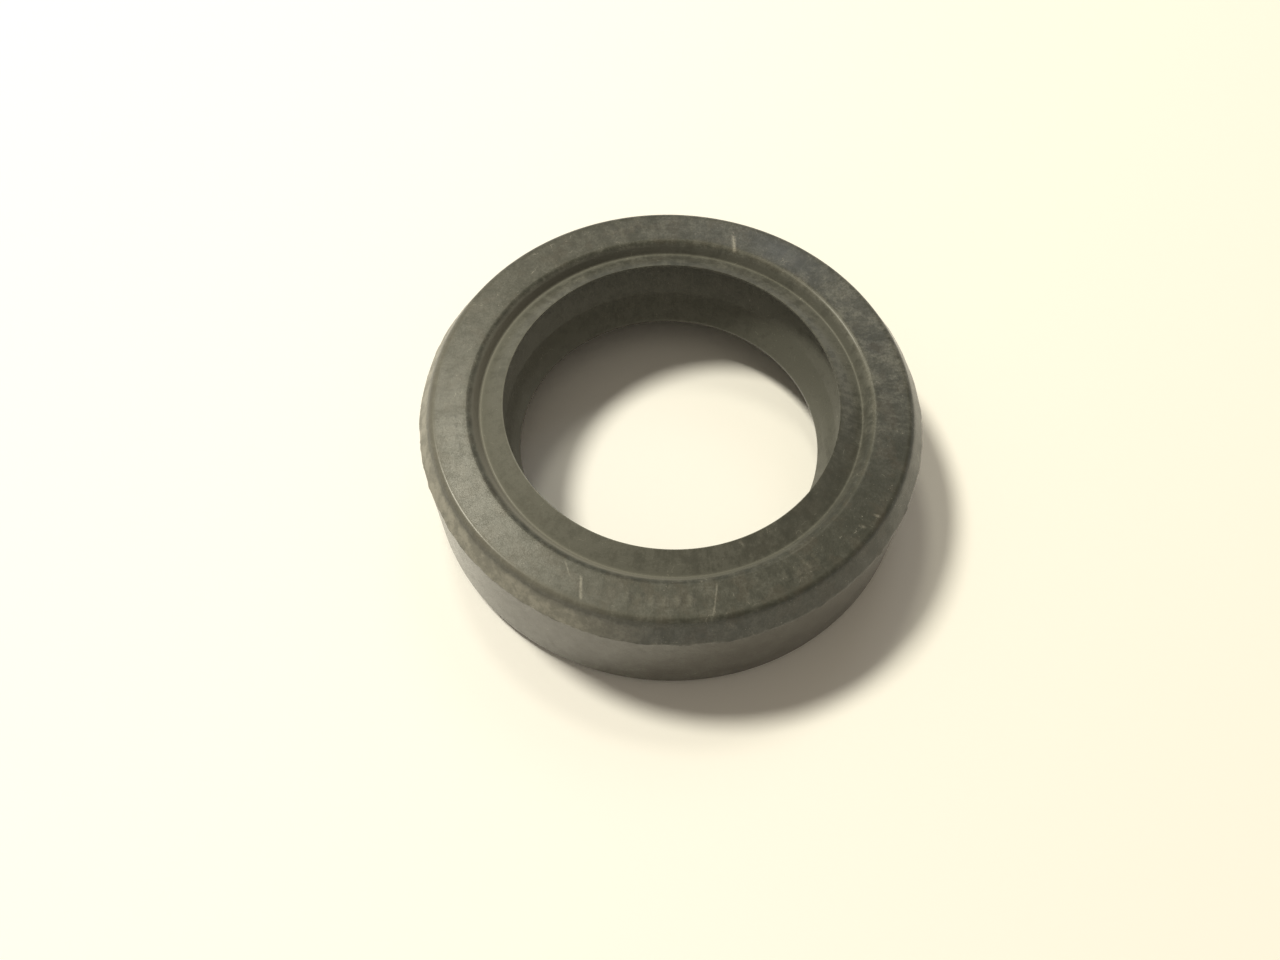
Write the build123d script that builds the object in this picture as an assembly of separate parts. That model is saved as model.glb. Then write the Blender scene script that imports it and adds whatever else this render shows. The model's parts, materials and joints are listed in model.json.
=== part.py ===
from build123d import *

import math
import os

# Rotary shaft seal for a 20 mm shaft in a 30 mm housing, 8 mm wide: a rubber moulding round a
# stamped steel case, with a garter spring. The Z axis is the shaft's axis, Z = 0 is the back face
# (oil side), and the front face (air side) is up. Every piece is a ring, so each one is drawn as a
# half section in (radius, height) and revolved about Z.

# ---- Standard size ----
shaft_diameter = 20.0
housing_diameter = 30.0
seal_width = 8.0
drawn_section = 5.0         # the ring's section, from shaft to housing, that the sizes below suit

# ---- Outer wall ----
front_chamfer_height = 1.4
front_chamfer_depth = 0.8
flash_proud = 0.06          # the thin ridge of rubber where the mould halves met
flash_thickness = 0.18
lead_in_height = 0.65
lead_in_depth = 0.35

# ---- Steel case ----
case_thickness = 0.7
case_bend_radius = 0.4
skin_thickness = 0.8        # rubber outside the case
face_cover = 0.7            # rubber over the case's flange
rim_cover = 0.5             # rubber behind the case's rim
rim_bevel = 0.2

# ---- Dust lip and front groove ----
dust_lip_interference = 0.05
dust_lip_reach = 1.45       # from its edge to the groove's bottom
dust_lip_edge = 0.15
dust_lip_drop = 0.05        # below the front face
groove_depth = 0.73
groove_slope = 0.43

# ---- Grease chamber between the lips ----
chamber_inset = 0.5         # its corner lies this far inside the groove's bottom
chamber_drop = 0.3

# ---- Main lip ----
lip_interference = 0.65     # the free lip is this much tighter than the shaft, on the radius
lip_height = 2.9
lip_land = 0.2
air_side_angle = 25.0
air_side_height = 1.8
oil_side_angle = 48.0
oil_side_height = 0.9
membrane_thickness = 0.85
root_cover = 0.3            # rubber under the case's flange
case_edge_cover = 0.16

# ---- Garter spring and its seat ----
spring_coil_diameter = 1.4
spring_offset = 0.45        # the spring sits this far in front of the lip
seat_wall = 0.85
nose_keep = 0.15            # the nose reaches this far past the coil's centre
seat_keep = 0.25            # and the wall in front of the coil this far
seat_lip = 0.2

# ---- Rounds ----
mould_round = 0.12
face_round = 0.4            # the worn outer edge of the front face
groove_edge_round = 0.5
chamber_round = 0.3
waist_round = 0.6
root_round = 0.5

# ---- Outer wall and case, from the housing inwards ----
# A narrower or wider ring has thinner or thicker walls, in the same share of its section.
section_share = (housing_diameter - shaft_diameter) / 2 / drawn_section
sheet_thickness = case_thickness * section_share
outer_radius = housing_diameter / 2
face_outer_radius = outer_radius - front_chamfer_depth
flash_line = seal_width - front_chamfer_height
case_outer_radius = outer_radius - skin_thickness * section_share
case_inner_radius = case_outer_radius - sheet_thickness
flange_top = seal_width - face_cover
flange_underside = flange_top - sheet_thickness

# ---- Front lip and groove, from the shaft outwards ----
dust_lip_radius = shaft_diameter / 2 - dust_lip_interference
dust_lip_top = seal_width - dust_lip_drop
groove_radius = dust_lip_radius + dust_lip_reach * section_share
groove_floor = seal_width - groove_depth
face_inner_radius = groove_radius + groove_slope * section_share
flange_inner_radius = face_inner_radius + case_edge_cover * section_share
chamber_radius = groove_radius - chamber_inset * section_share
chamber_height = groove_floor - chamber_drop

# ---- Main lip and membrane ----
lip_radius = shaft_diameter / 2 - lip_interference
land_top = lip_height + lip_land
waist_radius = lip_radius + air_side_height * math.tan(math.radians(air_side_angle))
waist_height = land_top + air_side_height
nose_inner_radius = lip_radius + oil_side_height * math.tan(math.radians(oil_side_angle))
nose_height = lip_height - oil_side_height
membrane_radius = chamber_radius + membrane_thickness * section_share
root_underside = flange_underside - root_cover
root_outer_radius = (flange_inner_radius + case_inner_radius - case_bend_radius) / 2
membrane_round = root_round * section_share

# ---- Garter spring ----
spring_coil_radius = spring_coil_diameter / 2
spring_height = lip_height + spring_offset
spring_radius = lip_radius + seat_wall + spring_coil_radius
nose_outer_radius = spring_radius + nose_keep
seat_outer_radius = spring_radius + seat_keep
seat_top = spring_height + spring_coil_radius + seat_lip


def half_section(corners):
    """Closed outline through corners given as (radius, height, round)."""
    points = [(radius, height) for radius, height, _ in corners]
    rounds = [corner_round for _, _, corner_round in corners]
    return make_face(FilletPolyline(points, radius=rounds, close=True))


def ring(section):
    """Turns a half section about the shaft's axis."""
    return revolve(Plane.XZ * section, Axis.Z)


def case_section():
    """L section: a cylinder that stiffens the outer wall, and a flange under the front face."""
    outer_bend_radius = case_bend_radius + sheet_thickness
    return half_section(
        [
            (case_outer_radius, rim_cover, 0),
            (case_outer_radius, flange_top, outer_bend_radius),
            (flange_inner_radius, flange_top, 0),
            (flange_inner_radius, flange_underside, 0),
            (case_inner_radius, flange_underside, case_bend_radius),
            (case_inner_radius, rim_cover, 0),
        ]
    )


def spring_section():
    """The close-wound coil's envelope, as it sits stretched in its seat."""
    return Pos(spring_radius, spring_height) * Circle(spring_coil_radius)


def rubber_section():
    """The whole moulding, with the room for the case and the spring cut from it."""
    outer_wall = [
        (outer_radius - lead_in_depth, 0, mould_round),
        (outer_radius, lead_in_height, mould_round),
        (outer_radius, flash_line - flash_thickness / 2, 0),
        (outer_radius + flash_proud, flash_line, 0),
        (outer_radius, flash_line + flash_thickness / 2, 0),
    ]
    front_face = [
        (face_outer_radius, seal_width, face_round),
        (face_inner_radius, seal_width, groove_edge_round),
        (groove_radius, groove_floor, mould_round),
    ]
    bore = [
        (dust_lip_radius, dust_lip_top, 0),
        (dust_lip_radius, dust_lip_top - dust_lip_edge, 0),
        (chamber_radius, chamber_height, chamber_round),
        (waist_radius, waist_height, waist_round),
        (lip_radius, land_top, 0),
        (lip_radius, lip_height, 0),
    ]
    spring_side = [
        (nose_inner_radius, nose_height, mould_round),
        (nose_outer_radius, nose_height, mould_round),
        (seat_outer_radius, seat_top, mould_round),
        (membrane_radius, root_underside, membrane_round),
        (root_outer_radius, root_underside, mould_round),
    ]
    # From here the outline runs inside the case's own section, which is then cut out of it.
    case_middle_radius = case_inner_radius + sheet_thickness / 2
    flange_middle = flange_underside + sheet_thickness / 2
    behind_case = [
        (root_outer_radius, flange_middle, 0),
        (case_middle_radius, flange_middle, 0),
        (case_middle_radius, rim_cover, 0),
        (case_inner_radius, rim_cover, 0),
        (case_inner_radius, rim_bevel, 0),
        (case_inner_radius + rim_bevel, 0, 0),
    ]
    outline = half_section(outer_wall + front_face + bore + spring_side + behind_case)
    return outline - case_section() - spring_section()


pieces = {
    "rubber_body": ring(rubber_section()),
    "steel_case": ring(case_section()),
    "garter_spring": ring(spring_section()),
}

os.makedirs("parts", exist_ok=True)
for name, piece in pieces.items():
    export_step(piece, f"parts/{name}.step")
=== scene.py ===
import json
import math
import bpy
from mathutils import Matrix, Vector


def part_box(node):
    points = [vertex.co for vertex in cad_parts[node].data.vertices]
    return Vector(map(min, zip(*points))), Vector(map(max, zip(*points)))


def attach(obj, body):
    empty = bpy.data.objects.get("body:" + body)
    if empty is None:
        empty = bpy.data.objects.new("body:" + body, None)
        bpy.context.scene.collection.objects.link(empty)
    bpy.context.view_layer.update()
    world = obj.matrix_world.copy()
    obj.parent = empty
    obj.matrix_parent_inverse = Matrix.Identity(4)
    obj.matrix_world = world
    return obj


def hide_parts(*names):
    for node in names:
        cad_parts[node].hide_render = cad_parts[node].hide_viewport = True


bl_info = {
    "name": "Shaft Seal",
    "version": (1, 0, 0),
    "blender": (4, 5, 0),
    "location": "3D View > Sidebar > Shaft Seal",
    "description": "Dresses a rubber shaft seal: the moulding, its steel case and its garter spring",
    "category": "Object",
}

import bmesh
import bpy
from bpy.props import FloatProperty, FloatVectorProperty, IntProperty, PointerProperty
from mathutils import Matrix, Vector, noise

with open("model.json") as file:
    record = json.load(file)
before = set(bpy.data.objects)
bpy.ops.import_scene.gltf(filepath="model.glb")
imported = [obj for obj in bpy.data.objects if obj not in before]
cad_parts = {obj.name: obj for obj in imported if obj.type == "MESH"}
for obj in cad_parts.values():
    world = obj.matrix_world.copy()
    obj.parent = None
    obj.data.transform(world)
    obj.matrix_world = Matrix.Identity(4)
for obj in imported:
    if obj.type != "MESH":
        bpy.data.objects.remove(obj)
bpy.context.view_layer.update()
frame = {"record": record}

# ---- Sizes read from the frame, in metres ----
MM = 0.001
mounts = {mount["name"]: mount for mount in frame["record"]["mounts"]}
rubber_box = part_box("rubber_body")
case_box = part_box("steel_case")
spring_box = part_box("garter_spring")

seal_width = rubber_box[1].z
flash_radius = rubber_box[1].x
housing_radius = mounts["housing_seat"]["dims"]["r_mm"] * MM
lip_radius = mounts["shaft_lip"]["dims"]["r_mm"] * MM
lip_land = mounts["shaft_lip"]["dims"]["length_mm"] * MM
lip_middle = mounts["shaft_lip"]["pos_m"][2]
case_radius = case_box[1].x
case_rim = case_box[0].z
case_top = case_box[1].z
coil_radius = (spring_box[1].z - spring_box[0].z) / 2
spring_height = (spring_box[1].z + spring_box[0].z) / 2
spring_radius = spring_box[1].x - coil_radius

# ---- Fineness of the meshes ----
merge_distance = 0.002 * MM
arc_step = 0.07 * MM  # length of a segment on a round
held_width = 0.06 * MM  # strip that keeps a flat's shading flat up to its edge
wedges = 24  # equal parts in which a ring is spun
crease = math.radians(32)


# ---- Settings ----
def length(name, description, default_mm):
    return FloatProperty(
        name=name,
        description=description,
        default=default_mm * MM,
        subtype="DISTANCE",
        unit="LENGTH",
        precision=5,
    )


def spot(name, description, default_mm):
    return FloatVectorProperty(
        name=name,
        description=description,
        default=[along * MM for along in default_mm],
        subtype="TRANSLATION",
        unit="LENGTH",
        precision=5,
    )


def degrees(name, description, default_degrees):
    default = math.radians(default_degrees)
    return FloatProperty(name=name, description=description, default=default, subtype="ANGLE")


def colour(name, description, default):
    return FloatVectorProperty(
        name=name,
        description=description,
        default=default,
        subtype="COLOR",
        min=0.0,
        max=1.0,
    )


def share(name, description, default):
    return FloatProperty(
        name=name,
        description=description,
        default=default,
        subtype="FACTOR",
        min=0.0,
        max=1.0,
    )


def power(name, description, default):
    return FloatProperty(name=name, description=description, default=default, unit="POWER", min=0.0)


def count(name, description, default, least):
    return IntProperty(name=name, description=description, default=default, min=least)


class SealRubberSettings(bpy.types.PropertyGroup):
    """Sizes and colours of the rubber moulding."""

    chamfer_height: length("Chamfer height", "Height of the chamfer on the front edge", 1.4)
    chamfer_depth: length("Chamfer depth", "How far the chamfer steps in", 0.8)
    face_round: length("Face round", "Round of the front face's worn outer edge", 0.4)
    flash_thickness: length("Flash thickness", "Thickness of the ridge at the mould's parting line", 0.18)
    flash_wander: length("Flash wander", "How far the parting line wanders up and down", 0.09)
    lead_in_height: length("Lead-in height", "Height of the back edge's lead-in", 0.65)
    lead_in_depth: length("Lead-in depth", "How far the lead-in steps in", 0.35)
    groove_radius: length("Groove radius", "Radius of the front groove's bottom", 11.4)
    groove_depth: length("Groove depth", "Depth of the groove in the front face", 0.73)
    groove_slope: length("Groove slope", "How far the groove's outer side leans out", 0.43)
    groove_edge_round: length("Groove edge round", "Round of the groove's outer edge", 0.5)
    dust_lip_radius: length("Dust lip radius", "Radius of the dust lip's edge", 9.95)
    dust_lip_drop: length("Dust lip drop", "How far the dust lip lies below the front face", 0.05)
    dust_lip_edge: length("Dust lip edge", "Height of the dust lip's edge", 0.15)
    chamber_inset: length("Chamber inset", "How far inside the groove's bottom the grease chamber ends", 0.5)
    chamber_drop: length("Chamber drop", "How far below the groove's bottom the grease chamber ends", 0.3)
    chamber_round: length("Chamber round", "Round at the top of the grease chamber", 0.3)
    air_side_angle: degrees("Air side angle", "Slope of the main lip's front side", 25.0)
    air_side_height: length("Air side height", "Height of the main lip's front side", 1.8)
    waist_round: length("Waist round", "Round where the main lip meets the membrane", 0.6)
    oil_side_angle: degrees("Oil side angle", "Slope of the main lip's back side", 48.0)
    oil_side_height: length("Oil side height", "Height of the main lip's back side", 0.9)
    nose_keep: length("Nose keep", "How far the nose reaches past the spring's middle", 0.15)
    seat_keep: length("Seat keep", "How far the seat's front wall reaches past it", 0.25)
    seat_lip: length("Seat lip", "Height of the seat above the spring", 0.2)
    membrane_thickness: length("Membrane thickness", "Rubber between the lips and the back cavity", 0.85)
    root_cover: length("Root cover", "Rubber under the case's flange", 0.3)
    root_round: length("Root round", "Round at the membrane's root", 0.5)
    mould_round: length("Mould round", "Round of the other moulded edges", 0.12)
    sharp_round: length("Sharp round", "Round of the lips and the seat's edges", 0.03)
    rim_bevel: length("Rim bevel", "Bevel of the rubber inside the case's rim", 0.2)
    steps: count("Steps", "Steps round the ring", 648, 96)
    rubber: colour("Rubber", "The rubber itself", (0.01, 0.0125, 0.009))
    brown: colour("Brown", "The cast of the outer wall", (0.035, 0.026, 0.017))
    dust_and_painted_light: colour("Dust", "The film of dust on it", (0.1, 0.101, 0.086))
    sheen: colour("Sheen", "Tint of its gloss", (1.0, 0.96, 0.78))
    painted_reflection: colour("Bloom", "A bluish bloom on part of the face", (0.05, 0.058, 0.07))
    wear_and_glare: colour("Wear", "Scuffed edges and scratches", (0.42, 0.4, 0.34))
    roughness: share("Roughness", "Roughness of clean rubber", 0.47)


class SealCaseSettings(bpy.types.PropertyGroup):
    """Sizes and colours of the steel case."""

    thickness: length("Thickness", "Thickness of the sheet", 0.7)
    bend_radius: length("Bend radius", "Inside radius of the bend", 0.4)
    flange_radius: length("Flange radius", "Radius of the flange's hole", 11.99)
    sheared_round: length("Sheared round", "Round of the sheared edges", 0.05)
    steps: count("Steps", "Steps round the ring", 480, 96)
    steel: colour("Steel", "The phosphated steel", (0.16, 0.155, 0.145))
    primer: colour("Primer", "Bonding primer left on the steel", (0.09, 0.06, 0.035))


class SealSpringSettings(bpy.types.PropertyGroup):
    """Sizes and colours of the garter spring."""

    wire_diameter: length("Wire diameter", "Diameter of the wire", 0.3)
    turns: count("Turns", "Turns in the whole ring, a whole number of groups", 208, 16)
    group: count("Group", "Turns that are copied together", 16, 2)
    steps: count("Steps", "Steps in one turn", 14, 6)
    sides: count("Sides", "Sides of the wire's section", 8, 3)
    wire: colour("Wire", "The spring steel", (0.4, 0.38, 0.35))
    tarnish: colour("Tarnish", "Darkened patches on the wire", (0.12, 0.1, 0.08))


class SealStageSettings(bpy.types.PropertyGroup):
    """The floor, the lights and the camera."""

    paper: colour("Paper", "The pale floor", (1.0, 1.0, 1.0))
    painted_falloff_paper: colour("Warm paper", "The floor on the right", (1.0, 0.985, 0.93))
    dull_paper: colour("Dull paper", "The floor as it lights the seal from below", (0.8, 0.79, 0.75))
    floor_reach: length("Floor reach", "Half the width of the floor", 2000.0)
    painted_falloff_reach: length("Warm reach", "How far to either side the floor turns from plain to warm", 35.0)
    fade_start: length("Fade start", "Distance at which the floor starts to fade out", 100.0)
    fade_end: length("Fade end", "Distance at which the floor has faded out", 280.0)
    fill: share("Fill", "Strength of the even light from all round", 0.27)
    fill_tint: colour("Fill tint", "Tint of the even light from all round", (1.0, 0.88, 0.7))
    lamp_distance: length("Lamp distance", "From the seal to each lamp", 500.0)
    key_power: power("Key power", "Power of the main lamp", 2.05)
    key_size: length("Key size", "Diameter of the main lamp", 96.0)
    key_bearing: degrees("Key bearing", "Bearing of the main lamp", 147.8)
    key_height: degrees("Key height", "Angle of the main lamp above the floor", 59.4)
    key_tint: colour("Key tint", "Tint of the main lamp", (1.0, 0.95, 0.79))
    soft_power: power("Soft power", "Power of the soft lamp", 0.33)
    soft_size: length("Soft size", "Diameter of the soft lamp", 75.0)
    soft_bearing: degrees("Soft bearing", "Bearing of the soft lamp", 109.0)
    soft_height: degrees("Soft height", "Angle of the soft lamp above the floor", 60.5)
    soft_tint: colour("Soft tint", "Tint of the soft lamp", (1.0, 0.96, 0.78))
    window_power: power("Window power", "Power of the cool lamp", 0.1)
    window_size: length("Window size", "Diameter of the cool lamp", 170.0)
    window_bearing: degrees("Window bearing", "Bearing of the cool lamp", 75.0)
    window_height: degrees("Window height", "Angle of the cool lamp above the floor", 49.0)
    window_tint: colour("Window tint", "Tint of the cool lamp", (0.92, 0.96, 1.0))
    camera_place: spot("Camera place", "Where the camera stands", (-1.8, -35.2, 61.5))
    camera_aim: spot("Camera aim", "The point at which the camera looks", (-1.8, -4.92, 6.6))
    camera_roll: degrees("Camera roll", "Turn of the camera about its view", 0.7)
    lens: length("Lens", "Focal length of the camera", 30.4)
    sensor_width: length("Sensor width", "Width of the camera's sensor", 36.0)
    near_limit: length("Near limit", "Distance at which the camera starts to see", 5.0)


# ---- Shader values ----
class Value:
    """An output in a node tree; arithmetic on it adds Math nodes."""

    def __init__(self, nodes, output):
        self.nodes = nodes
        self.output = output

    def __getitem__(self, name):
        return Value(self.nodes, self.output.node.outputs[name])

    def math(self, operation, *values):
        return self.nodes.add("ShaderNodeMath", {"operation": operation}, dict(enumerate(values)))

    def __add__(self, other):
        return self.math("ADD", self, other)

    def __sub__(self, other):
        return self.math("SUBTRACT", self, other)

    def __rsub__(self, other):
        return self.math("SUBTRACT", other, self)

    def __mul__(self, other):
        return self.math("MULTIPLY", self, other)

    def __truediv__(self, other):
        return self.math("DIVIDE", self, other)

    def __mod__(self, other):
        return self.math("MODULO", self, other)

    def __pow__(self, other):
        return self.math("POWER", self, other)

    __radd__ = __add__
    __rmul__ = __mul__

    def above(self, low, high):
        """0 below low, 1 above high, smooth between."""
        return self.nodes.add(
            "ShaderNodeMapRange",
            {"interpolation_type": "SMOOTHSTEP"},
            {"Value": self, "From Min": low, "From Max": high},
        )

    def near(self, middle, width):
        """1 at middle, fading to 0 at width to either side."""
        return 1 - self.math("ABSOLUTE", self - middle).above(0.0, width)

    def most(self, other):
        return self.math("MAXIMUM", self, other)

    def least(self, other):
        return self.math("MINIMUM", self, other)


class Nodes:
    """A node tree that is filled one call at a time."""

    def __init__(self, tree):
        self.tree = tree
        self.tree.nodes.clear()

    def add(self, kind, settings=None, inputs=None):
        """Adds a node, with its settings and then its inputs, and gives its first output in use."""
        node = self.tree.nodes.new(kind)
        for name, value in (settings or {}).items():
            setattr(node, name, value)
        for name, value in (inputs or {}).items():
            if isinstance(value, Value):
                self.tree.links.new(value.output, node.inputs[name])
            else:
                node.inputs[name].default_value = value
        outputs = [output for output in node.outputs if output.enabled]
        return Value(self, outputs[0]) if outputs else None

    def axes(self, vector):
        """The three numbers of a vector."""
        numbers = self.add("ShaderNodeSeparateXYZ", None, {"Vector": vector})
        return numbers["X"], numbers["Y"], numbers["Z"]


class Finish(Nodes):
    """A material's nodes."""

    def __init__(self, name):
        self.material = bpy.data.materials.new(name)
        self.material.use_nodes = True
        super().__init__(self.material.node_tree)

    def place(self):
        """Object coordinates in millimetres."""
        coordinates = self.add("ShaderNodeTexCoord")["Object"]
        return self.add("ShaderNodeVectorMath", {"operation": "SCALE"}, {0: coordinates, "Scale": 1 / MM})

    def vector(self, x, y, z):
        """A vector from three numbers."""
        return self.add("ShaderNodeCombineXYZ", None, {"X": x, "Y": y, "Z": z})

    def blotches(self, place, scale, detail, roughness=0.6):
        """A cloudy random pattern about 0.5."""
        return self.add(
            "ShaderNodeTexNoise",
            {"noise_dimensions": "3D"},
            {"Vector": place, "Scale": scale, "Detail": detail, "Roughness": roughness},
        )

    def mix(self, factor, first, second):
        """Mixes two colours, whose sockets are numbers 6 and 7 of the node."""
        return self.add("ShaderNodeMix", {"data_type": "RGBA"}, {"Factor": factor, 6: first, 7: second})

    def bump(self, height, distance, strength):
        inputs = {"Strength": strength, "Distance": distance, "Height": height}
        return self.add("ShaderNodeBump", None, inputs)

    def surface(self, **inputs):
        """Ends the material with a shader that has these inputs, and gives the material."""
        sockets = {name.replace("_", " "): value for name, value in inputs.items()}
        shader = self.add("ShaderNodeBsdfPrincipled", None, sockets)
        self.add("ShaderNodeOutputMaterial", None, {"Surface": shader})
        return self.material


def rgba(colour_value):
    return (*colour_value, 1.0)


# ---- Finishes ----
# Bearings on the seal, in degrees: where the film is thicker, where it is thin, where the lips' film is
# thinner, where the gloss has gone dull and where the bluish painted reflection lies
thick_film_bearing = 25.0
thin_bearing = -35.0
thin_lip_film_bearing = 110.0
dull_bearing = -42.0
reflection_bearing = 57.0
reflection_radius = 13.2  # in mm, as are the radii below

# Scratches across the front: bearing, degrees of slant for each mm, inner and outer radius in mm,
# breadth in degrees and strength
scratch_lines = (
    (69.9, 1.65, 11.8, 13.1, 1.0, 0.55),
    (-112.9, 1.8, 12.6, 13.9, 0.6, 0.45),
    (-78.6, -1.4, 12.2, 14.2, 0.4, 0.25),
    (-118.5, 4.6, 12.2, 12.9, 0.5, 0.25),
    (-68.5, 1.5, 10.05, 10.4, 0.9, 0.35),
    (-34.5, 1.0, 13.6, 14.0, 0.6, 0.4),
    (-39.0, 1.0, 13.3, 13.7, 0.6, 0.3),
)

# Groups of raised bars moulded on the front: first and last bearing and pitch, in degrees
mark_groups = ((-174.0, -156.0, 3.0), (-102.0, -84.0, 3.0), (-63.0, -51.0, 3.0), (90.0, 108.0, 3.0))


class RubberFinish(Finish):
    """The nodes of the rubber: where a point lies, in millimetres and degrees, and the patterns on it."""

    def __init__(self, settings):
        super().__init__("dusty_rubber")

        # Radii and heights of the moulding
        self.rim = housing_radius / MM
        self.face_edge = self.rim - settings.chamfer_depth / MM
        self.groove = settings.groove_radius / MM
        self.lip = settings.dust_lip_radius / MM
        self.top = seal_width / MM
        self.flash = self.top - settings.chamfer_height / MM

        place = self.place()
        x, y, self.z = self.axes(place)
        self.radius = (x * x + y * y) ** 0.5
        self.bearing = y.math("ARCTAN2", y, x) / math.radians(1)
        self.backward = y / self.radius

        # Random patterns, of which the spokes run outwards and the turning runs round
        self.cloud = self.blotches(place, 0.3, 4.0)
        self.mottle = self.blotches(place, 1.3, 6.0, 0.7)
        self.tint = self.blotches(place, 0.9, 3.0)
        self.grain = self.blotches(place, 6.0, 4.0, 0.75)
        self.speck = self.blotches(place, 8.0, 2.0, 0.6)
        self.hair = self.blotches(place, 0.8, 2.0, 0.4)
        sideward = x / self.radius
        spoked = self.vector(sideward * 22.0, self.backward * 22.0, self.radius * 0.4 + self.z)
        self.spokes = self.blotches(spoked, 1.0, 4.0, 0.7)
        turned = self.vector(sideward * 1.5, self.backward * 1.5, (self.radius + self.z) * 6.0)
        self.turning = self.blotches(turned, 1.0, 3.0)

        # Zones, from 0 to 1: the lower-left side of the seal, on which lighter paint stands in for glare and
        # highlights, its wall, the face's edge, what lies below the face, and the chamfer on that side,
        # painted lighter as a reflection
        self.side = 0.5 - (sideward * 0.9 + self.backward * 0.4) * 0.5
        self.wall = self.on_rim() * (1 - self.z.above(self.flash - 0.3, self.flash))
        self.edge = self.radius.near(self.face_edge, 0.5) * self.z.above(self.top - 0.6, self.top - 0.1)
        self.sunk = 1 - self.z.above(self.top - 0.3, self.top - 0.02)
        chamfer = self.radius.above(self.face_edge + 0.1, self.face_edge + 0.4)
        chamfer = chamfer * self.z.above(self.flash - 0.1, self.flash + 0.1)
        # Painted reflection: the chamfer on the lower-left side, which the finish paints lighter
        self.glare_chamfer = chamfer * self.side.above(0.7, 0.9)

    def on_rim(self):
        """1 on the outer wall and the flash, 0 further in."""
        return self.radius.above(self.rim - 0.2, self.rim - 0.05)

    def dust_and_painted_light(self):
        """A patchy film of dust, thickest in the groove, on the lips, down the bore and on the lower-left
        side, where its lighter colour is also painted light: it lifts the shade in the groove and bore and
        stands in for glare on that side.
        """
        thin = self.cloud.above(0.4, 0.62) * 0.25
        thin = thin + self.mottle.above(0.42, 0.62) * 0.55
        thin = thin + self.spokes.above(0.46, 0.64) * 0.4
        more = self.bearing.near(thick_film_bearing, 45.0)
        less = self.bearing.near(thin_bearing, 45.0) * 0.7
        thin = thin * (1 + more - less)
        thin = thin * (0.3 + self.grain.above(0.35, 0.65) * 0.7) * 0.8

        lips = 1 - self.radius.above(self.groove - 0.1, self.groove + 0.8)
        bore = 1 - self.z.above(self.top - 2.5, self.top - 0.8)
        more = self.bearing.near(thick_film_bearing, 40.0) * 0.25
        less = self.bearing.near(thin_lip_film_bearing, 50.0) * 0.35
        # Painted light: the side term is lighter paint standing in for glare, and the bore term lifts the
        # bore's shade
        thick = lips * (0.35 + self.side * 0.5 + bore * 0.4 + more - less)
        # Painted light: a lighter film in the groove lifts its shade, most on the lower-left side and at the
        # back
        groove = self.radius.near(self.groove + 0.2, 0.6) * self.sunk
        thick = thick + groove * (0.05 + self.side * 0.85 + self.backward.above(-0.3, 0.6) * 0.4)
        # Painted reflection: the lower-left chamfer is given a lighter film
        thick = thick + self.glare_chamfer
        return (thin + thick * (0.45 + self.mottle)).least(1.0)

    def marks(self):
        """Groups of plain bars, moulded on the front."""
        middle = (self.groove + self.face_edge) / 2 + 0.25
        band = self.z.above(self.top - 0.25, self.top - 0.1)
        band = band * self.radius.near(middle, 0.45).above(0.0, 0.3)
        bars = 0.0
        for first, last, pitch in mark_groups:
            bar = ((self.bearing - first) % pitch - pitch / 2).near(0.0, pitch * 0.4)
            group = self.bearing.above(first - 0.1, first + 0.1)
            group = group * (1 - self.bearing.above(last - 0.1, last + 0.1))
            bars = group * bar + bars
        return bars * band * (0.3 + self.mottle)

    def scuffs_and_glare(self, marks):
        """Wear on the edges and the marks, with painted glare: the face's edge, the chamfer, the flash and
        the groove's outer side are painted lighter on the lower-left side, standing in for highlights.
        """
        rubbed = self.mottle.above(0.4, 0.6)
        # Painted highlight: the face's edge, the chamfer, the flash and the groove's outer side are lighter
        # on the lower-left side
        edge = self.edge * (0.03 + self.side.above(0.65, 0.95) * 0.2)
        chamfer = self.glare_chamfer * (0.25 + rubbed * 0.3)
        flash = self.z.near(self.flash, 0.14) * self.on_rim() * self.side.above(0.6, 0.9)
        raised = (flash * 0.5).most(marks * 0.04) * rubbed
        groove = self.radius.near(self.groove + 0.25, 0.5) * self.sunk * self.side.above(0.5, 0.95)
        return edge.most(chamfer).most(raised).most(groove * 0.35)

    def scratches(self):
        """Curled lint and the listed scratches, which the grain breaks up."""
        lint = self.hair.near(0.5, 0.006) * self.mottle.above(0.55, 0.62) * self.grain.above(0.35, 0.5)
        lines = lint * 0.4
        broken = self.z.above(self.top - 1.5, self.top - 0.9) * self.grain.above(0.25, 0.6)
        for bearing, slant, inner, outer, breadth, strength in scratch_lines:
            line = (self.bearing - self.radius * slant).near(bearing - slant * inner, breadth)
            span = self.radius.above(inner - 0.1, inner + 0.2)
            span = span * (1 - self.radius.above(outer - 0.2, outer + 0.1))
            lines = lines.most(line * span * broken * strength)
        return lines

    def specks(self):
        """Light specks, mostly in the cloudy patches, on the wall and on the lower-left chamfer that is
        painted lighter as a reflection.
        """
        where = self.cloud.above(0.45, 0.6).most(self.glare_chamfer).most(self.wall * 0.5)
        return self.speck.above(0.67, 0.75) * where * 0.4

    def painted_reflection(self):
        """A painted reflection: a hazy patch on the front face, where the colour stands in for a bluish
        reflection.
        """
        patch = self.bearing.near(reflection_bearing, 16.0) * self.radius.near(reflection_radius, 1.6)
        return patch * self.z.above(self.top - 0.3, self.top - 0.1)

    def gloss(self):
        """The share of the rubber's skin that shines: less on the edges, the lip, the groove and one side."""
        skin = (0.6 + self.mottle.above(0.35, 0.6) * 0.4) * (0.7 + self.grain.above(0.4, 0.6) * 0.3)
        worn = (self.radius.near(self.groove + 0.2, 0.9) * 0.9).most(self.edge * 0.7)
        worn = worn.most(self.radius.near(self.lip, 0.4) * 0.8)
        worn = worn.most(self.bearing.near(dull_bearing, 45.0) * 0.4)
        return skin * (1 - worn)


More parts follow.
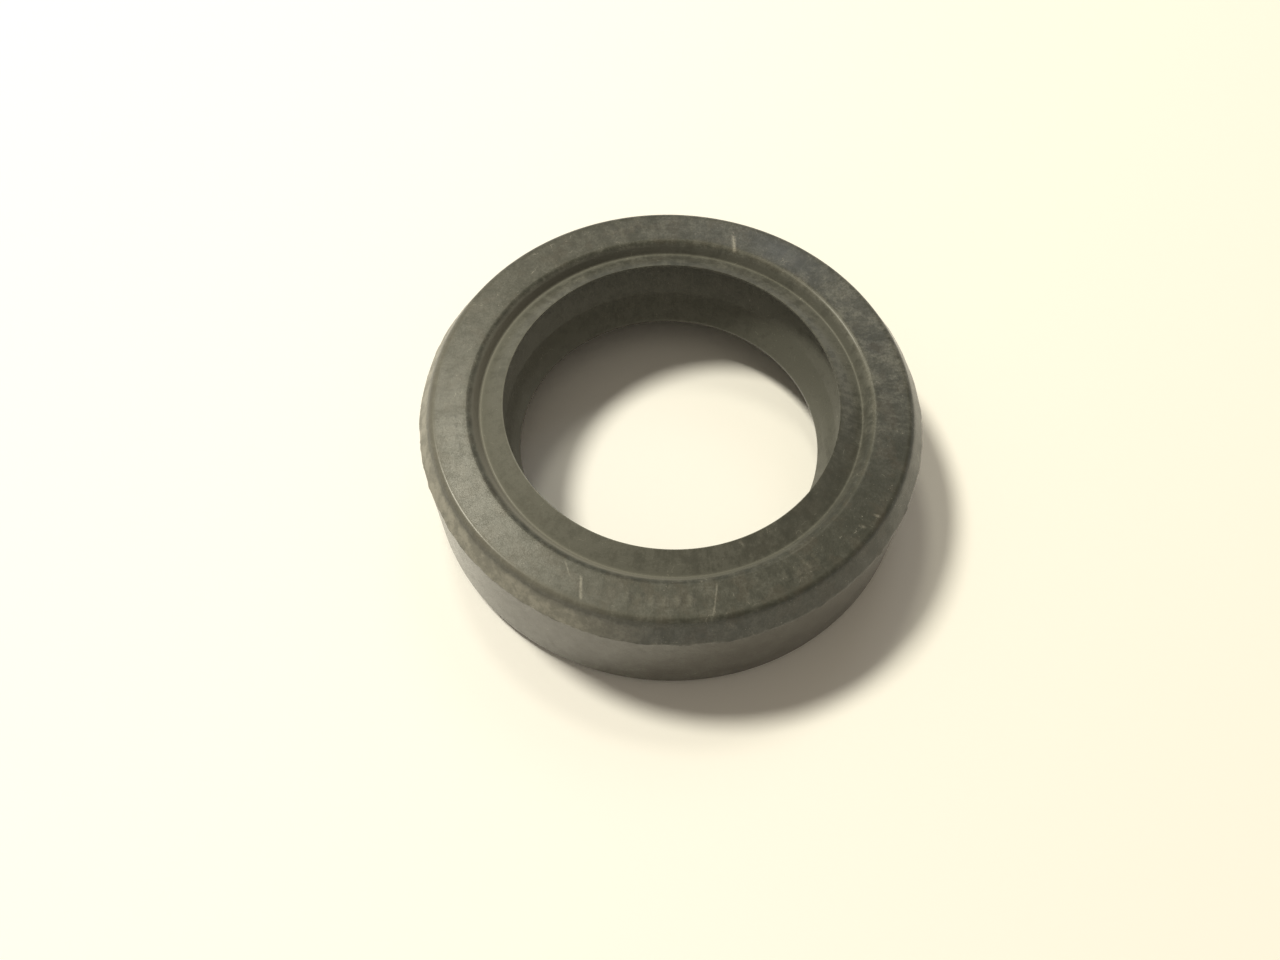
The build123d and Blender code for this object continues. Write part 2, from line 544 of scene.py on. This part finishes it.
def rubber_finish(settings):
    """Dusty black rubber, browner on its wall, with scuffed edges, fine scratches, lint and specks, and
    painted light: a lighter film lifts the shade in the groove and bore, lighter paint on the lower-left side
    stands in for glare, and a bluish patch on the face is a painted reflection.
    """
    finish = RubberFinish(settings)
    dust_and_painted_light = finish.dust_and_painted_light()
    marks = finish.marks()
    # Lighter marks: real wear, scratches, lint and specks, together with the painted glare on the lower-left
    # side
    light = finish.scuffs_and_glare(marks).most(finish.scratches()).most(finish.specks())
    brown = finish.wall.most(finish.tint.above(0.48, 0.62) * 0.6)

    clean = finish.mix(brown * 0.6, rgba(settings.rubber), rgba(settings.brown))
    filmed_colour = finish.mix(dust_and_painted_light, clean, rgba(settings.dust_and_painted_light))
    # Painted reflection: a bluish patch on the face painted in as a reflection
    with_reflection = finish.mix(finish.painted_reflection() * 0.45, filmed_colour, rgba(settings.painted_reflection))
    relief = finish.mottle * 0.5 + finish.grain * 0.8 + finish.turning * 0.15 + marks * 0.8
    return finish.surface(
        Base_Color=finish.mix(light, with_reflection, rgba(settings.wear_and_glare)),
        Roughness=settings.roughness + dust_and_painted_light * 0.15 + finish.grain * 0.06 + finish.edge * 0.1,
        IOR=1.5,
        Specular_Tint=rgba(settings.sheen),
        Coat_Weight=(1 - dust_and_painted_light * 0.5) * finish.gloss(),
        Coat_Roughness=0.26,
        Sheen_Weight=0.15,
        Sheen_Roughness=0.4,
        Normal=finish.bump(relief, 0.03 * MM, 0.7),
    )


def case_finish(settings):
    """Phosphated steel with draw lines and traces of the bonding primer."""
    finish = Finish("phosphated_steel")
    place = finish.place()
    x, y, z = finish.axes(place)
    lines = finish.blotches(finish.vector(x * 0.6, y * 0.6, z * 6.0), 1.0, 4.0)
    patches = finish.blotches(place, 0.5, 5.0)
    grain = finish.blotches(place, 12.0, 2.0)
    primer = patches.above(0.42, 0.7)
    return finish.surface(
        Base_Color=finish.mix(primer * 0.7, rgba(settings.steel), rgba(settings.primer)),
        Metallic=1 - primer * 0.6,
        Roughness=0.42 + grain * 0.15 + primer * 0.1,
        Normal=finish.bump(lines * 0.6 + grain * 0.4, 0.02 * MM, 0.5),
    )


def spring_finish(settings):
    """Drawn spring wire, a little oily and darkened."""
    finish = Finish("spring_wire")
    place = finish.place()
    tarnish = finish.blotches(place, 1.2, 4.0)
    grain = finish.blotches(place, 20.0, 2.0)
    dark = tarnish.above(0.45, 0.7) * 0.6
    return finish.surface(
        Base_Color=finish.mix(dark, rgba(settings.wire), rgba(settings.tarnish)),
        Metallic=1.0,
        Roughness=0.28 + tarnish * 0.2,
        Normal=finish.bump(grain, 0.005 * MM, 0.4),
    )


def paper_finish(settings):
    """Soft white paper, which looks white to the camera and to gloss, and fades out far from the seal; its
    colour turns warmer and dimmer towards the right, a painted falloff of the light.
    """
    finish = Finish("pale_paper")
    ray = finish.add("ShaderNodeLightPath")
    seen = ray["Is Camera Ray"].most(ray["Is Glossy Ray"]).most(ray["Is Transmission Ray"])
    x, y, _ = finish.axes(finish.place())
    painted_falloff_reach = settings.painted_falloff_reach / MM
    # Painted light: the paper turns warmer and dimmer towards the right, standing in for the light falling
    # off there
    painted_falloff = x.above(-painted_falloff_reach, painted_falloff_reach)
    bright = finish.mix(painted_falloff, rgba(settings.paper), rgba(settings.painted_falloff_paper))
    distance = (x * x + y * y) ** 0.5
    return finish.surface(
        Base_Color=finish.mix(seen, rgba(settings.dull_paper), bright),
        Roughness=0.9,
        Alpha=1 - distance.above(settings.fade_start / MM, settings.fade_end / MM),
    )


# ---- Shapes ----
def round_corner(mesh, corner, radius):
    """Rounds one corner of an outline with an arc of this radius."""
    before, after = (edge.other_vert(corner).co - corner.co for edge in corner.link_edges)
    half = before.angle(after) / 2
    segments = min(8, max(2, round(radius * (math.pi - 2 * half) / arc_step)))
    bmesh.ops.bevel(
        mesh,
        geom=[corner],
        offset=radius / math.tan(half),
        offset_type="OFFSET",
        segments=segments,
        profile=0.5,
        affect="VERTICES",
        material=-1,
    )


def hold_flat(mesh):
    """Adds a point near each end of an outline's long sides, so that the flats shade flat up to there."""
    for side in mesh.edges[:]:
        if side.calc_length() > 6 * held_width:
            near, far = side.verts
            held = bmesh.utils.edge_split(side, near, held_width / side.calc_length())[1]
            rest = next(edge for edge in held.link_edges if far in edge.verts)
            bmesh.utils.edge_split(rest, far, held_width / rest.calc_length())


def repeat(mesh, times, angle, axis=(0, 0, 1), shift=(0, 0, 0)):
    """Copies everything in the mesh until it is there this many times, each copy turned and shifted on."""
    bmesh.ops.spin(
        mesh,
        geom=mesh.verts[:] + mesh.edges[:] + mesh.faces[:],
        cent=(0, 0, 0),
        axis=axis,
        dvec=shift,
        angle=angle * (times - 1),
        steps=times - 1,
        use_duplicate=True,
    )


def clean_up(mesh):
    """Closes the seams, turns the faces outwards and keeps creases crisp."""
    bmesh.ops.remove_doubles(mesh, verts=mesh.verts, dist=merge_distance)
    bmesh.ops.recalc_face_normals(mesh, faces=mesh.faces)
    for face in mesh.faces:
        face.smooth = True
    for edge in mesh.edges:
        edge.smooth = edge.calc_face_angle(0.0) < crease


def ring(corners, steps):
    """Spins an outline given as (radius, height, round) about the shaft's axis into a closed ring."""
    mesh = bmesh.new()
    outline = [mesh.verts.new((radius, 0.0, height)) for radius, height, _ in corners]
    mesh.faces.new(outline)
    for corner, (_, _, corner_round) in zip(outline, corners):
        if corner_round:
            round_corner(mesh, corner, corner_round)
    bmesh.ops.remove_doubles(mesh, verts=mesh.verts, dist=merge_distance)
    bmesh.ops.delete(mesh, geom=mesh.faces[:], context="FACES_ONLY")
    hold_flat(mesh)
    bmesh.ops.spin(
        mesh,
        geom=mesh.verts[:] + mesh.edges[:],
        cent=(0, 0, 0),
        axis=(0, 0, 1),
        dvec=(0, 0, 0),
        angle=math.tau / wedges,
        steps=steps // wedges,
    )
    repeat(mesh, wedges, math.tau / wedges)
    clean_up(mesh)
    return mesh


def put(name, data):
    """Puts an object with this data in the scene."""
    shown = bpy.data.objects.new(name, data)
    bpy.context.scene.collection.objects.link(shown)
    return shown


def put_mesh(name, mesh, material):
    """Puts the mesh in the scene as an object with this material."""
    data = bpy.data.meshes.new(name)
    mesh.to_mesh(data)
    mesh.free()
    data.materials.append(material)
    return put(name, data)


def finish_piece(mesh, node, material):
    """Makes the mesh a piece that stands for a node of the frame."""
    piece = put_mesh(node + "_dressed", mesh, material)
    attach(piece, "root")
    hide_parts(node)


def case_corners(settings):
    """The L section of the case, as (radius, height, round)."""
    inner = case_radius - settings.thickness
    underside = case_top - settings.thickness
    return [
        (case_radius, case_rim, settings.sheared_round),
        (case_radius, case_top, settings.bend_radius + settings.thickness),
        (settings.flange_radius, case_top, settings.sheared_round),
        (settings.flange_radius, underside, settings.sheared_round),
        (inner, underside, settings.bend_radius),
        (inner, case_rim, settings.sheared_round),
    ]


def rubber_corners(settings, case, flash_height):
    """The moulding's half section as (radius, height, round), from the back edge over the front and back."""
    mould_round = settings.mould_round
    fine = settings.sharp_round
    outer_wall = [
        (housing_radius - settings.lead_in_depth, 0, mould_round),
        (housing_radius, settings.lead_in_height, mould_round),
        (housing_radius, flash_height - settings.flash_thickness / 2, 0),
        (flash_radius, flash_height, 0),
        (housing_radius, flash_height + settings.flash_thickness / 2, 0),
    ]
    groove_floor = seal_width - settings.groove_depth
    front_face = [
        (housing_radius - settings.chamfer_depth, seal_width, settings.face_round),
        (settings.groove_radius + settings.groove_slope, seal_width, settings.groove_edge_round),
        (settings.groove_radius, groove_floor, mould_round),
    ]
    dust_lip_top = seal_width - settings.dust_lip_drop
    chamber_radius = settings.groove_radius - settings.chamber_inset
    land_top = lip_middle + lip_land / 2
    land_bottom = lip_middle - lip_land / 2
    waist_radius = lip_radius + settings.air_side_height * math.tan(settings.air_side_angle)
    bore = [
        (settings.dust_lip_radius, dust_lip_top, fine),
        (settings.dust_lip_radius, dust_lip_top - settings.dust_lip_edge, fine),
        (chamber_radius, groove_floor - settings.chamber_drop, settings.chamber_round),
        (waist_radius, land_top + settings.air_side_height, settings.waist_round),
        (lip_radius, land_top, fine),
        (lip_radius, land_bottom, fine),
    ]
    nose_radius = lip_radius + settings.oil_side_height * math.tan(settings.oil_side_angle)
    nose_height = land_bottom - settings.oil_side_height
    nose_edge = spring_radius + settings.nose_keep
    seat_edge = spring_radius + settings.seat_keep
    # Just under the coil's radius, so that the rounds of the two corners don't meet.
    snug_round = 0.98 * coil_radius
    spring_seat = [
        (nose_radius, nose_height, mould_round),
        (nose_edge, nose_height, mould_round),
        (nose_edge, spring_height - coil_radius, fine),
        (spring_radius - coil_radius, spring_height - coil_radius, snug_round),
        (spring_radius - coil_radius, spring_height + coil_radius, snug_round),
        (seat_edge, spring_height + coil_radius, fine),
        (seat_edge, spring_height + coil_radius + settings.seat_lip, 3 * fine),
    ]
    case_inner = case_radius - case.thickness
    underside = case_top - case.thickness
    root_height = underside - settings.root_cover
    root_edge = (case.flange_radius + case_inner - case.bend_radius) / 2
    root = [
        (chamber_radius + settings.membrane_thickness, root_height, settings.root_round),
        (root_edge, root_height, mould_round),
    ]
    bond = [
        (root_edge, underside, 0),
        (case.flange_radius, underside, 0),
        (case.flange_radius, case_top, 0),
        (case_radius, case_top, case.bend_radius + case.thickness),
        (case_radius, case_rim, 0),
        (case_inner, case_rim, 0),
        (case_inner, settings.rim_bevel, 0),
        (case_inner + settings.rim_bevel, 0, fine),
    ]
    return outer_wall + front_face + bore + spring_seat + root + bond


def ragged(mesh, settings, flash_height):
    """Lets the flash wander a little up and down, with the edges beside it, and tears it unevenly."""
    beside = 0.25 * MM
    for vert in mesh.verts:
        radius = math.hypot(vert.co.x, vert.co.y)
        if radius < housing_radius - beside or abs(vert.co.z - flash_height) > beside:
            continue
        place = vert.co / MM
        wander = noise.noise(place * 0.35) + noise.noise(place * 1.6) / 1.8
        vert.co.z += wander * settings.flash_wander
        if radius > housing_radius + merge_distance:
            torn = 0.5 + 0.9 * noise.noise(place * 1.1) + 0.6 * noise.noise(place * 4.0)
            proud = (flash_radius - housing_radius) * min(1.0, max(0.0, torn))
            shrink = (housing_radius + proud) / radius
            vert.co.x *= shrink
            vert.co.y *= shrink


def straight_coil(settings, pitch):
    """Winds the spring's turns along X: one turn spun from the wire's section, then copied in groups."""
    wire_radius = settings.wire_diameter / 2
    mesh = bmesh.new()
    start = Matrix.Translation((0, 0, coil_radius - wire_radius)) @ Matrix.Rotation(math.pi / 2, 4, "X")
    bmesh.ops.create_circle(mesh, segments=settings.sides, radius=wire_radius, matrix=start)
    bmesh.ops.spin(
        mesh,
        geom=mesh.verts[:] + mesh.edges[:],
        cent=(0, 0, 0),
        axis=(1, 0, 0),
        dvec=(pitch / settings.steps, 0, 0),
        angle=math.tau,
        steps=settings.steps,
    )
    groups = settings.turns // settings.group
    repeat(mesh, settings.group, 0.0, (1, 0, 0), (pitch, 0, 0))
    repeat(mesh, groups, 0.0, (1, 0, 0), (pitch * settings.group, 0, 0))
    return mesh


def join_ends(mesh):
    """Bends the straight coil round the shaft's axis, so that its ends meet."""
    for vert in mesh.verts:
        turn = vert.co.x / spring_radius
        out = spring_radius + vert.co.y
        vert.co = Vector((out * math.cos(turn), out * math.sin(turn), spring_height + vert.co.z))
    clean_up(mesh)


# ---- Stage ----
def studio_world(settings):
    """Even fill light. The camera sees the paper's white all round, and gloss sees it near the horizon."""
    world = bpy.data.worlds.new("studio")
    world.use_nodes = True
    sky = Nodes(world.node_tree)
    ray = sky.add("ShaderNodeLightPath")
    _, _, height = sky.axes(sky.add("ShaderNodeTexCoord")["Generated"])
    glow = ray["Is Glossy Ray"].most(ray["Is Transmission Ray"]) * (1 - height.above(0.1, 0.6))
    white_seen = ray["Is Camera Ray"].most(glow)
    tint = rgba(settings.fill_tint)
    shade = sky.add("ShaderNodeBackground", None, {"Color": tint, "Strength": settings.fill})
    white = sky.add("ShaderNodeBackground", None, {"Color": rgba(settings.paper), "Strength": 1.0})
    shown = sky.add("ShaderNodeMixShader", None, {0: white_seen, 1: shade, 2: white})
    sky.add("ShaderNodeOutputWorld", None, {"Surface": shown})
    return world


def paper_floor(settings):
    """A flat floor of paper under the seal."""
    mesh = bmesh.new()
    bmesh.ops.create_grid(mesh, x_segments=1, y_segments=1, size=settings.floor_reach)
    put_mesh("floor", mesh, paper_finish(settings))


def facing(place, aim):
    """Stands a lamp or a camera at a place, so that it faces the aim."""
    turn = (place - aim).to_track_quat("Z", "Y").to_matrix().to_4x4()
    return Matrix.Translation(place) @ turn


def lamp(settings, name):
    """A round lamp that faces the seal, from the settings that start with its name."""
    size, strength, bearing, height, tint = (
        getattr(settings, name + part) for part in ("_size", "_power", "_bearing", "_height", "_tint")
    )
    data = bpy.data.lights.new(name, "AREA")
    data.shape = "DISK"
    data.size = size
    data.energy = strength
    data.color = tint
    across = math.cos(height)
    toward = Vector((math.cos(bearing) * across, math.sin(bearing) * across, math.sin(height)))
    put(name, data).matrix_world = facing(toward * settings.lamp_distance, Vector())


def camera(settings):
    """The camera that looks at the seal from in front and above."""
    data = bpy.data.cameras.new("camera")
    data.lens = settings.lens / MM
    data.sensor_width = settings.sensor_width / MM
    data.clip_start = settings.near_limit
    shown = put("camera", data)
    view = facing(settings.camera_place, settings.camera_aim)
    shown.matrix_world = view @ Matrix.Rotation(settings.camera_roll, 4, "Z")
    bpy.context.scene.camera = shown


# ---- Operators ----
class SEAL_OT_rubber_body(bpy.types.Operator):
    """Make the rubber moulding, with its ragged flash line"""

    bl_idname = "seal.rubber_body"
    bl_label = "Rubber moulding"

    def execute(self, context):
        settings = context.scene.seal_rubber
        flash_height = seal_width - settings.chamfer_height
        corners = rubber_corners(settings, context.scene.seal_case, flash_height)
        mesh = ring(corners, settings.steps)
        ragged(mesh, settings, flash_height)
        finish_piece(mesh, "rubber_body", rubber_finish(settings))
        return {"FINISHED"}


class SEAL_OT_steel_case(bpy.types.Operator):
    """Make the stamped steel case"""

    bl_idname = "seal.steel_case"
    bl_label = "Steel case"

    def execute(self, context):
        settings = context.scene.seal_case
        mesh = ring(case_corners(settings), settings.steps)
        finish_piece(mesh, "steel_case", case_finish(settings))
        return {"FINISHED"}


class SEAL_OT_garter_spring(bpy.types.Operator):
    """Wind the garter spring and close it into a ring"""

    bl_idname = "seal.garter_spring"
    bl_label = "Garter spring"

    def execute(self, context):
        settings = context.scene.seal_spring
        mesh = straight_coil(settings, math.tau * spring_radius / settings.turns)
        join_ends(mesh)
        finish_piece(mesh, "garter_spring", spring_finish(settings))
        return {"FINISHED"}


class SEAL_OT_stage(bpy.types.Operator):
    """Set the floor, the lamps and the camera"""

    bl_idname = "seal.stage"
    bl_label = "Stage"

    def execute(self, context):
        settings = context.scene.seal_stage
        context.scene.view_settings.view_transform = "Standard"
        context.scene.world = studio_world(settings)
        paper_floor(settings)
        for name in ("key", "soft", "window"):
            lamp(settings, name)
        camera(settings)
        return {"FINISHED"}


# ---- Panel and registration ----
class SEAL_PT_panel(bpy.types.Panel):
    """Lists the seal's pieces and their settings"""

    bl_idname = "SEAL_PT_panel"
    bl_label = "Shaft Seal"
    bl_space_type = "VIEW_3D"
    bl_region_type = "UI"
    bl_category = "Shaft Seal"

    def draw(self, context):
        scene = context.scene
        for operator, settings in (
            (SEAL_OT_rubber_body, scene.seal_rubber),
            (SEAL_OT_steel_case, scene.seal_case),
            (SEAL_OT_garter_spring, scene.seal_spring),
            (SEAL_OT_stage, scene.seal_stage),
        ):
            box = self.layout.box()
            box.operator(operator.bl_idname)
            for name in settings.__annotations__:
                box.prop(settings, name)


classes = (
    SealRubberSettings,
    SealCaseSettings,
    SealSpringSettings,
    SealStageSettings,
    SEAL_OT_rubber_body,
    SEAL_OT_steel_case,
    SEAL_OT_garter_spring,
    SEAL_OT_stage,
    SEAL_PT_panel,
)


def register():
    for cls in classes:
        bpy.utils.register_class(cls)
    bpy.types.Scene.seal_rubber = PointerProperty(type=SealRubberSettings)
    bpy.types.Scene.seal_case = PointerProperty(type=SealCaseSettings)
    bpy.types.Scene.seal_spring = PointerProperty(type=SealSpringSettings)
    bpy.types.Scene.seal_stage = PointerProperty(type=SealStageSettings)


def unregister():
    for name in ("seal_rubber", "seal_case", "seal_spring", "seal_stage"):
        delattr(bpy.types.Scene, name)
    for cls in reversed(classes):
        bpy.utils.unregister_class(cls)


def main():
    register()
    bpy.ops.seal.rubber_body()
    bpy.ops.seal.steel_case()
    bpy.ops.seal.garter_spring()
    bpy.ops.seal.stage()


if __name__ == "__main__":
    main()
